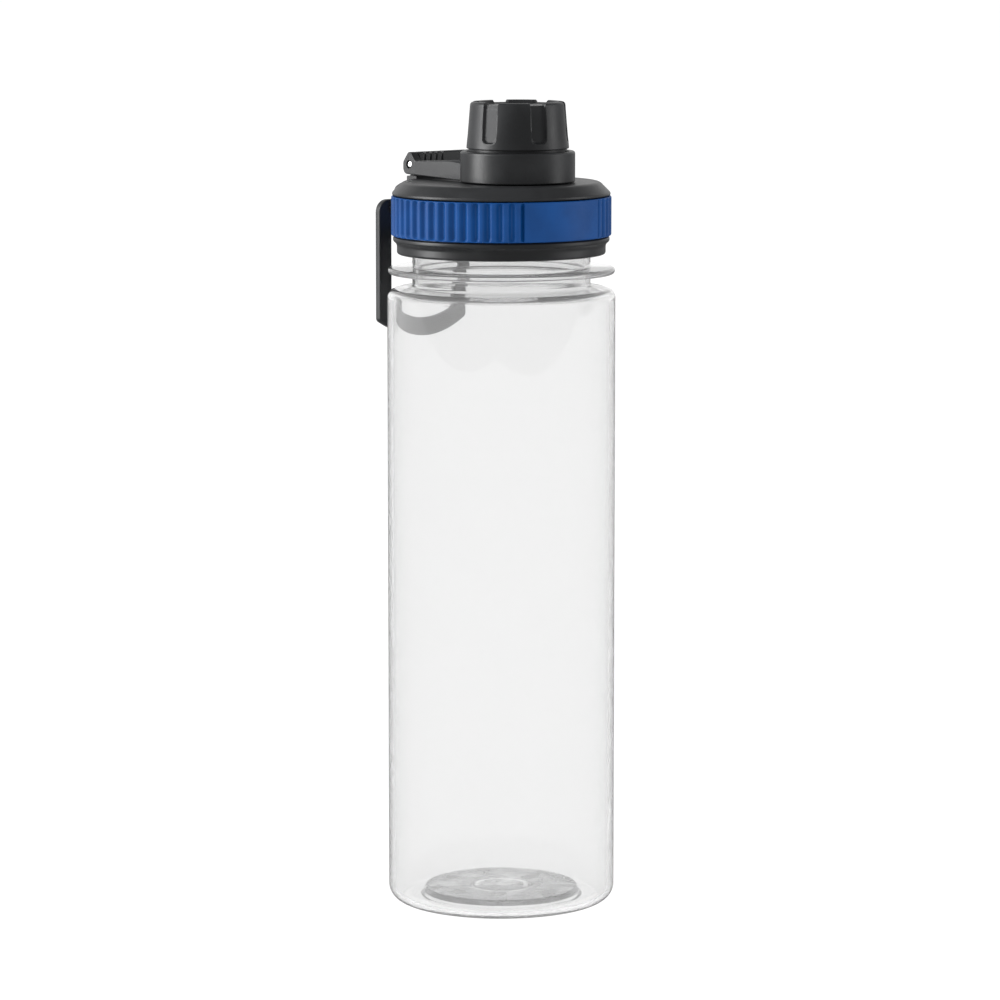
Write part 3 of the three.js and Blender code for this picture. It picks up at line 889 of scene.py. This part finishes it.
def makeGripRing():
    grooveZone = ((ringRadius - 1, ringLow.z), (ringRadius + 1, ringTop), 0.6)
    piece = lathe("gripRing", [
        (ringBore, ringLow.z),
        (ringRadius, ringLow.z, 0.5),
        (ringRadius, ringTop, 0.5),
        (ringBore, ringTop),
    ], segments=720, closed=True, fine=(grooveZone,))
    sizes = {**ringSizes, "Bottom": ringLow.z, "Top": ringTop, "Bore": ringBore, "Axis Y": 0.0}
    shapeByRule(piece, "gripRidges", sizes, ringRule, blueRubber)
    return finishPiece(piece, blueRubber, "lid", "grip_ring", flatFaces=False)


def makeGasket():
    piece = lathe("lidGasket", [
        (gasketHigh.x - 3.8, gasketLow.z, 0.5),
        (gasketHigh.x, gasketLow.z, 0.5),
        (gasketHigh.x, gasketHigh.z, 0.5),
        (gasketHigh.x - 3.8, gasketHigh.z, 0.5),
    ], segments=128, closed=True)
    return finishPiece(piece, silicone, "lid_carrier", "lid_gasket", flatFaces=False)


makeGripRing()
makeGasket()


capSizes = {
    "skirt": 16.1,
    "taper": 1.2,
    "crownRound": 2.4,
    "rim": 3.2,
    "dish": 1.2,
    "sleeveBore": 14.2,
    "sleeve": 15.4,
    "beadHeight": 1.2,
    "tipBore": 12.1,
    "skirtAboveCollar": 0.8,
}
notchSizes = {
    "Notches": 6.0,
    "Width": 5.0,
    "Corner": 1.6,
    "Depth": 1.0,
    "Above Skirt": 2.2,
    "First": math.radians(-165),
    "Edge": 0.2,
    "Rim Dip": 0.75,
}
sleeveThread = {
    "Lead": capThread["Lead"],
    "Turns": capThread["Turns"],
    "Thread Depth": 0.4,
    "Land": 0.8,
    "Root": 1.7,
    "Fade": 0.5,
    "Start": math.pi,
}
capTop = capHigh.z
capSkirtBottom = collarHigh.z + capSizes["skirtAboveCollar"]


def capRule(graph, angle, radius, height, given):
    spacing = 2 * math.pi / given["Notches"]
    fromNotch = (angle - given["First"] + spacing / 2) % spacing - spacing / 2
    sideways = abs(fromNotch) * radius
    across = graph.most(sideways - given["Width"] / 2 + given["Corner"], 0.0)
    below = graph.most(given["Skirt Bottom"] + given["Above Skirt"] + given["Corner"] - height, 0.0)
    away = graph.maths("SQRT", across * across + below * below) - given["Corner"]
    inNotch = 1.0 - graph.step(away, -given["Edge"], given["Edge"])
    risen = (height - given["Skirt Bottom"]) / (given["Top"] - given["Skirt Bottom"])
    flat = given["Skirt"] - given["Depth"] - given["Taper"] * risen
    floor = flat / graph.maths("COSINE", fromNotch)
    outside = graph.step(height, given["Skirt Bottom"], given["Skirt Bottom"] + 0.2)
    outside = outside * graph.step(radius, given["Skirt"] - 4.2, given["Skirt"] - 3.4)
    pressed = inNotch * outside * graph.step(height, given["Inside Top"], given["Inside Top"] + 0.1)
    onWall = inNotch * graph.step(radius, given["Sleeve"] - 0.9, given["Sleeve"] - 0.7) * outside
    share = graph.most(pressed, onWall)
    newRadius = radius + share * (graph.least(radius, floor) - radius)
    dip = pressed * given["Rim Dip"] * graph.step(height, given["Top"] - 2.4, given["Top"] - 0.8)
    onBore = graph.maths("COMPARE", radius, given["Wall"], 0.05)
    threadGiven = {**given, "Depth": given["Thread Depth"]}
    lifted = threadHeight(graph, angle, height, threadGiven, starts=1, turns=capThread["Turns"])
    return newRadius - onBore * lifted, height - dip


def makeSpoutCap():
    s = capSizes
    crown = s["skirt"] - s["taper"]
    ceiling = sealHigh.z + gap
    beadTop = capLow.z + s["beadHeight"]
    piece = lathe("spoutCap", [
        (0, ceiling),
        (s["tipBore"], ceiling, 0.3),
        (s["tipBore"], spoutTop - 1, 4),
        (s["sleeveBore"], capSkirtBottom + 1, 4),
        (s["sleeveBore"], capLow.z, 0.3),
        (capHigh.x, capLow.z, 0.4),
        (capHigh.x, beadTop, 0.4),
        (s["sleeve"], beadTop, 0.1),
        (s["sleeve"], capSkirtBottom, 0.1),
        (s["skirt"], capSkirtBottom, 0.45),
        (crown, capTop, s["crownRound"]),
        (crown - s["rim"] + s["dish"], capTop, 0.8),
        (crown - s["rim"], capTop - s["dish"], 0.5),
        (0, capTop - s["dish"]),
    ], axisY=spoutY, segments=540, fine=(
        ((crown - 0.2, capSkirtBottom + 0.3), (s["skirt"] + 1, capTop - 1), 0.3),
        ((s["sleeveBore"] - 0.1, capLow.z), (s["sleeveBore"] + 0.1, capSkirtBottom + 1), 0.3),
    ))
    sizes = {
        **notchSizes,
        **sleeveThread,
        "Skirt": s["skirt"],
        "Taper": s["taper"],
        "Skirt Bottom": capSkirtBottom,
        "Top": capTop,
        "Sleeve": s["sleeve"],
        "Inside Top": ceiling + 0.2,
        "Axis Y": spoutY,
        "Wall": s["sleeveBore"],
        "Base": deckZ + capThreadAboveDeck,
    }
    shapeByRule(piece, "gripNotches", sizes, capRule, blackPlastic)
    return finishPiece(piece, blackPlastic, "cap", "spout_cap",
                       sharpAngle=50, flatFaces=False)


def makeCapSeal():
    piece = lathe("capSeal", [
        (0, sealLow.z),
        (sealHigh.x, sealLow.z, 0.4),
        (sealHigh.x, sealHigh.z, 0.4),
        (0, sealHigh.z),
    ], axisY=spoutY, segments=96)
    return finishPiece(piece, silicone, "cap_carrier", "cap_seal", flatFaces=False)


makeSpoutCap()
makeCapSeal()


tetherSizes = {
    "wall": 1.1,
    "lip": 1.2,
    "armInner": 10.4,
    "arm": 2.6,
    "eye": 3.1,
    "peak": 3.9,
    "topAtCollar": 2.5,
    "shaveWide": 1.9,
    "shaveDeep": 1.3,
}


def makeTetherCollar():
    s = tetherSizes
    outer = collarHigh.x
    bottom, top = collarLow.z, collarHigh.z
    piece = lathe("tetherCollar", [
        (0, bottom),
        (outer, bottom, 0.4),
        (outer, top, 0.7),
        (0, top),
    ], axisY=spoutY, segments=256)
    armOuter = s["armInner"] + s["arm"]
    armFoot = hinge.z - s["eye"]
    armStart = spoutY + math.sqrt(outer ** 2 - armOuter ** 2) - 2
    arms = [slab(f"arm{i}", [
        (armStart, bottom),
        (hinge.y + s["eye"], armFoot, 2.6),
        (hinge.y + s["eye"], hinge.z + 0.8, 2),
        (hinge.y + 0.6, hinge.z + s["peak"], 1),
        (hinge.y - 1, hinge.z + s["peak"], 0.6),
        (hinge.y - s["eye"], hinge.z + 1.3, 1),
        (armStart, hinge.z + s["topAtCollar"]),
    ], low, low + s["arm"], bevel=0.4) for i, low in enumerate((-armOuter, s["armInner"]))]
    bore = lathe("bore", [
        (0, bottom - 1),
        (outer - s["wall"], bottom - 1),
        (outer - s["wall"], top - s["lip"]),
        (capSizes["sleeve"] + gap, top - s["lip"]),
        (capSizes["sleeve"] + gap, top - 0.3),
        (capSizes["sleeve"] + gap + 0.5, top + 0.2),
        (0, top + 0.2),
    ], axisY=spoutY, segments=256)
    # each arm's outer top edge is cut away more and more towards the collar
    lugFront = hinge.y - s["eye"]
    for side, arm in zip((-1, 1), arms):
        outside, inside = side * (armOuter + 1), side * (armOuter - s["shaveWide"])
        armTop = hinge.z + s["topAtCollar"] + 0.5
        low = hinge.z + s["topAtCollar"] - s["shaveDeep"]
        wedge = makeObject("wedge", [
            (side * armOuter, lugFront - 1, armTop),
            (outside, lugFront - 1, armTop),
            (outside, armStart, low - 0.5),
            (outside, armStart, armTop),
            (inside, armStart, armTop),
            (side * armOuter, armStart, low),
        ], [(0, 4, 3, 1), (0, 1, 2, 5), (0, 5, 4), (1, 3, 2), (2, 3, 4, 5)])
        pointOutwards(wedge)
        combine("DIFFERENCE", arm, [wedge])
    combine("UNION", piece, arms)
    eyes = rod("eyes", pinHole, -armOuter - 1, armOuter + 1, hinge.y, hinge.z)
    combine("DIFFERENCE", piece, [bore, eyes])
    return finishPiece(piece, blackPlastic, "tether", "tether_collar")


def makePin(name, node, low, high, axis):
    piece = rod(name, pinRadius, low.x, high.x, axis.y, axis.z, edge=0.25)
    return finishPiece(piece, steel, "lid", node, flatFaces=False)


makeTetherCollar()
makePin("hingePin", "hinge_pin", hingePinLow, hingePinHigh, hinge)
makePin("loopPin", "loop_pin", loopPinLow, loopPinHigh, loopAxis)


loopSizes = {
    "leg": 5.0,
    "thickness": 2.3,
    "bar": 5.8,
    "topRound": 6.3,
    "bottomRound": 6.3,
    "windowRound": 2.0,
    "bow": 28.0,
    "eye": 2.4,
    "eyeReach": 4.0,
}


def makeCarryLoop():
    s = loopSizes
    half = loopHigh.x
    top = loopAxis.z + s["eye"]
    window = half - s["leg"]
    inner = knuckleSizes["half"] + gap
    tabLow = loopAxis.z - s["eye"] - 1
    shares = [k / 12 for k in range(-12, 13)]

    def bowed(width, base, corner):
        rise = 1 / (2 * s["bow"])
        return [(k * width, base + rise * (k * width) ** 2, corner if abs(k) == 1 else 0) for k in shares]

    bottom = loopLow.z
    corners = [
        *reversed(bowed(half, bottom, s["bottomRound"])),
        (-half, top, s["topRound"]),
        (-inner, top, 0.4),
        (-inner, tabLow, 0.4),
        (-window, tabLow, s["windowRound"]),
        *bowed(window, bottom + s["bar"], s["windowRound"]),
        (window, tabLow, s["windowRound"]),
        (inner, tabLow, 0.4),
        (inner, top, 0.4),
        (half, top, s["topRound"]),
    ]
    y = loopAxis.y
    deep = s["thickness"] / 2
    piece = slab("carryLoop", corners, y - deep, y + deep, along="y", bevel=0.45)
    spans = ((-inner - s["eyeReach"], -inner), (inner, inner + s["eyeReach"]))
    eyes = [rod(f"eye{i}", s["eye"], low, high, y, loopAxis.z, edge=0.3)
            for i, (low, high) in enumerate(spans)]
    combine("UNION", piece, eyes)
    combine("DIFFERENCE", piece, [rod("bore", pinHole, spans[0][0], spans[1][1], y, loopAxis.z)])
    return finishPiece(piece, blackPlastic, "loop", "carry_loop")


makeCarryLoop()
print("object made")


cameraSizes = {
    "azimuth": math.radians(-40),
    "distance": 1.4,
    "height": 0.3191,
    "aim": 0.1286,
    "lens": 160.17,
    "shiftX": -0.0013,
}


# How bright the room looks: white behind the object and through clear walls, dim in reflections.
roomSizes = {
    "seen": 1.02,
    "through": 1.12,
    "throughBeside": 0.0,
    "besideEdge": (0.2, 0.8),
    "shade": 1.3,
    "reflected": 0.16,
    "backdrop": 1.0,
    "backdropEdge": (0.45, 0.9),
}


def roomLevel(graph, reflected, throughLevel):
    rays = graph.add("ShaderNodeLightPath")
    glossy = Wire(graph, rays.outputs["Is Glossy Ray"])
    level = graph.level(glossy, 0.0, 1.0, roomSizes["shade"], reflected)
    through = Wire(graph, rays.outputs["Is Transmission Ray"])
    level = level + through * (throughLevel - level)
    seen = Wire(graph, rays.outputs["Is Camera Ray"])
    return level + seen * (roomSizes["seen"] - level)


def makeStage():
    far = 4000
    floor = makeObject("floor", [
        (-far, -far, 0),
        (far, -far, 0),
        (far, far, 0),
        (-far, far, 0),
    ], [(0, 1, 2, 3)])
    material, graph, _ = newMaterial("studioFloor")
    finishMaterial(graph, {
        "Base Color": (0.05, 0.05, 0.05, 1.0),
        "Roughness": 0.9,
        "Specular IOR Level": 0.0,
        "Emission Color": roomLevel(graph, roomSizes["reflected"], roomSizes["through"]),
        "Emission Strength": 1.0,
    })
    floor.data.materials.append(material)


def makeWorld():
    world = bpy.data.worlds.new("studio")
    scene.world = world
    world.use_nodes = True
    world.node_tree.nodes.clear()
    graph = Graph(world.node_tree)
    x, y, _ = graph.split(graph.wire("ShaderNodeTexCoord", "Generated"))
    behind = y * math.cos(cameraSizes["azimuth"]) - x * math.sin(cameraSizes["azimuth"])
    bright = graph.step(behind, *roomSizes["backdropEdge"])
    reflected = roomSizes["reflected"] + bright * (roomSizes["backdrop"] - roomSizes["reflected"])
    ahead = graph.step(behind, *roomSizes["besideEdge"])
    through = roomSizes["throughBeside"] + ahead * (roomSizes["through"] - roomSizes["throughBeside"])
    background = {"Color": (1, 1, 1, 1), "Strength": roomLevel(graph, reflected, through)}
    light = graph.wire("ShaderNodeBackground", "Background", None, background)
    graph.add("ShaderNodeOutputWorld", None, {"Surface": light})


softBoxes = {
    "leftBox": {
        "azimuth": -84,
        "elevation": 18,
        "distance": 1.2,
        "width": 0.5,
        "height": 1.1,
        "power": 20.0,
    },
    "rightBox": {
        "azimuth": 88,
        "elevation": 12,
        "distance": 1.3,
        "width": 0.35,
        "height": 1.0,
        "power": 4.5,
    },
}

# The soft boxes light the coloured pieces; the clear bottle shows the room alone.
solidPieces = bpy.data.collections.new("solidPieces")
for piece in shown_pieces():
    if piece.name != "bottleBody":
        solidPieces.objects.link(piece)


# A soft box that looks at the middle of the object, from an angle round it in the camera's frame.
def makeSoftBox(name, azimuth, elevation, distance, width, height, power):
    data = bpy.data.lights.new(name, "AREA")
    data.shape = "RECTANGLE"
    data.size, data.size_y = width, height
    data.energy = power
    lamp = bpy.data.objects.new(name, data)
    scene.collection.objects.link(lamp)
    a, e = cameraSizes["azimuth"] + math.radians(azimuth), math.radians(elevation)
    away = Vector((math.sin(a) * math.cos(e), -math.cos(a) * math.cos(e), math.sin(e)))
    lamp.location = Vector((0, 0, cameraSizes["aim"])) + away * distance
    lamp.rotation_euler = away.to_track_quat("Z", "Y").to_euler()
    lamp.visible_camera = False
    lamp.light_linking.receiver_collection = solidPieces


def makeCamera():
    s = cameraSizes
    data = bpy.data.cameras.new("camera")
    camera = bpy.data.objects.new("camera", data)
    scene.collection.objects.link(camera)
    across = math.sin(s["azimuth"]) * s["distance"]
    back = -math.cos(s["azimuth"]) * s["distance"]
    camera.location = (across, back, s["height"])
    towards = Vector((0, 0, s["aim"])) - camera.location
    camera.rotation_euler = towards.to_track_quat("-Z", "Y").to_euler()
    data.lens = s["lens"]
    data.sensor_width = 36.0
    data.shift_x = s["shiftX"]
    data.clip_start, data.clip_end = 0.05, 30.0
    scene.camera = camera


makeStage()
makeWorld()
for boxName, boxSizes in softBoxes.items():
    makeSoftBox(boxName, **boxSizes)
makeCamera()
scene.view_settings.view_transform = "Standard"
print("stage, light and camera made")
